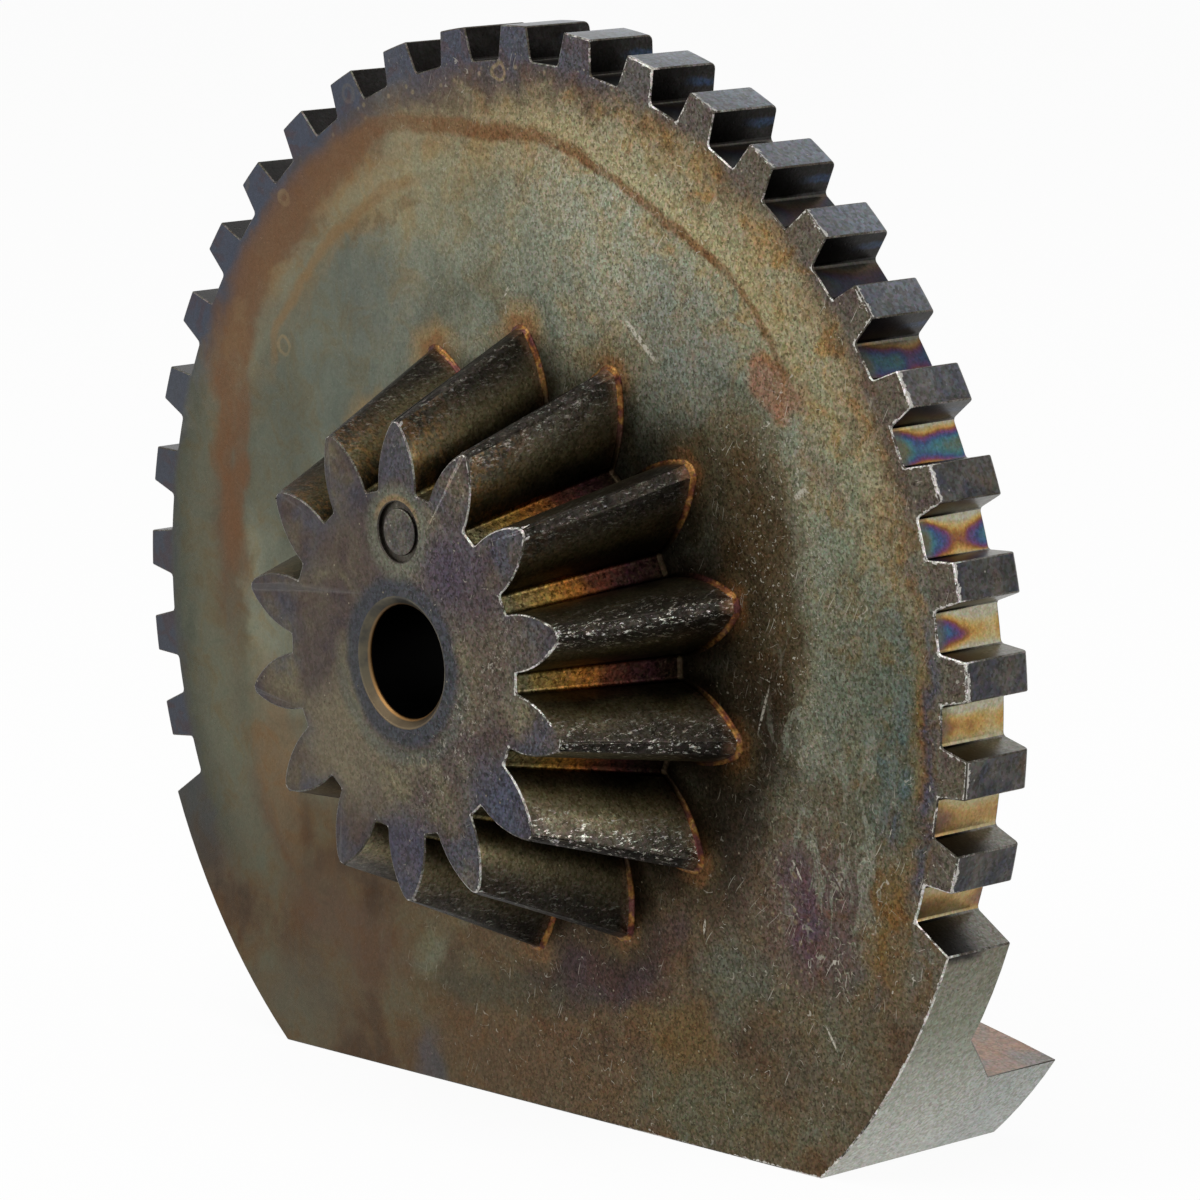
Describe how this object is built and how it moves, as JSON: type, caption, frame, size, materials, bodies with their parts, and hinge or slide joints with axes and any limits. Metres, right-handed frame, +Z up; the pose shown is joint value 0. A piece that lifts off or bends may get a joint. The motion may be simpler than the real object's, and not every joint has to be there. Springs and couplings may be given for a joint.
{
  "type": "chute lock gear",
  "caption": "One-piece sintered steel chute lock gear: plate with square lock teeth round its rim, a bevel pinion on its front, a through bore, and a foot behind a flat.",
  "frame": {"origin": "on the bore's axis, in the plane of the plate's front face, which the pinion rises from", "axes": "+Y along the bore, from the pinion to the foot behind the plate; +Z up, away from the flat; +X across, to the right seen from the pinion's side"},
  "size_m": [0.104, 0.0344, 0.0926],
  "materials": {
    "oxidised_steel": "pressed and sintered steel, steam oxidised: dark olive grey with brown, blue and purple heat colours, satin"
  },
  "bodies": {
    "root": {"lock_gear": "oxidised_steel"}
  },
  "joints": []
}
